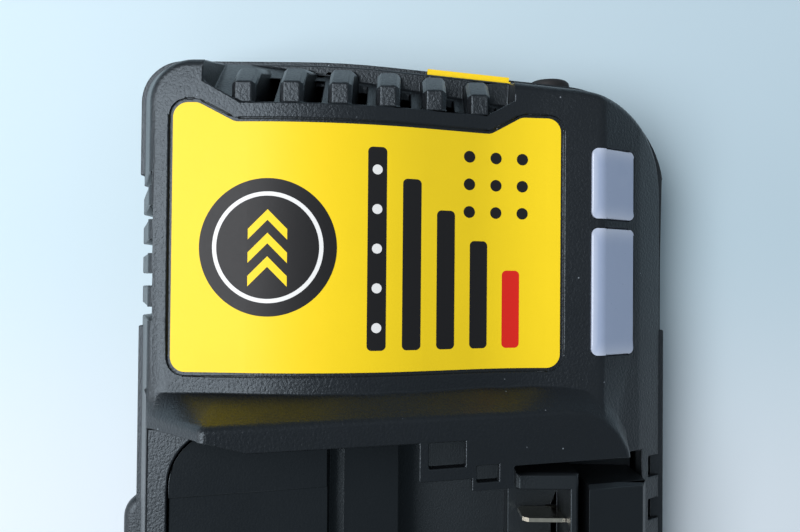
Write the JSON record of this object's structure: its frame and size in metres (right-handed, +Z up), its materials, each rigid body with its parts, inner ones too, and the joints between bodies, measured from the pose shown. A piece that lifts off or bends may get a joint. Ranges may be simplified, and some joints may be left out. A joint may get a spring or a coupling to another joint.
{
  "type": "power tool battery charger",
  "caption": "Table-top charger for a slide-in power tool battery: sloping battery bay beside a label face with status windows and side air vents.",
  "frame": {"origin": "on the table under the middle of the housing", "axes": "+X to the charger's right (label side), +Y to its back, where the pack slides in, +Z up"},
  "size_m": [0.1816, 0.1517, 0.0738],
  "materials": {
    "housing_black": "fine spark-eroded texture, glossy at worn edges",
    "liner_black": "fine texture",
    "terminal_black": "satin",
    "contact_metal": "polished",
    "label_yellow": "printed film, satin",
    "window_milky": "translucent, polished",
    "rubber_black": "matte",
    "board_green": "solder mask",
    "ferrite": "sintered",
    "winding_tape": "tape",
    "can_sleeve": "printed sleeve",
    "heat_sink_metal": "extruded",
    "package_black": "moulded",
    "choke_green": "coated",
    "fuse_glass": "clear",
    "screw_steel": "zinc plated",
    "light_clear": "clear resin"
  },
  "bodies": {
    "root": {"upper_housing": "housing_black", "lower_housing": "housing_black", "bay_liner": "liner_black", "terminal_block": "terminal_black", "power_blades": "contact_metal", "signal_blades": "contact_metal", "top_label": "label_yellow", "side_label": "label_yellow", "light_guide_large": "window_milky", "light_guide_small": "window_milky", "cord_gland": "rubber_black", "rubber_feet": "rubber_black", "circuit_board": "board_green", "status_leds": "light_clear", "transformer_core": "ferrite", "transformer_winding": "winding_tape", "mains_capacitor": "can_sleeve", "output_capacitors": "can_sleeve", "heat_sink_primary": "heat_sink_metal", "heat_sink_output": "heat_sink_metal", "power_transistors": "package_black", "line_choke": "choke_green", "fuse": "fuse_glass", "rectifier": "package_black", "cord_clamp": "package_black", "cord_clamp_screws": "screw_steel", "board_screws": "screw_steel", "housing_screws": "screw_steel", "liner_screws": "screw_steel"}
  },
  "joints": []
}
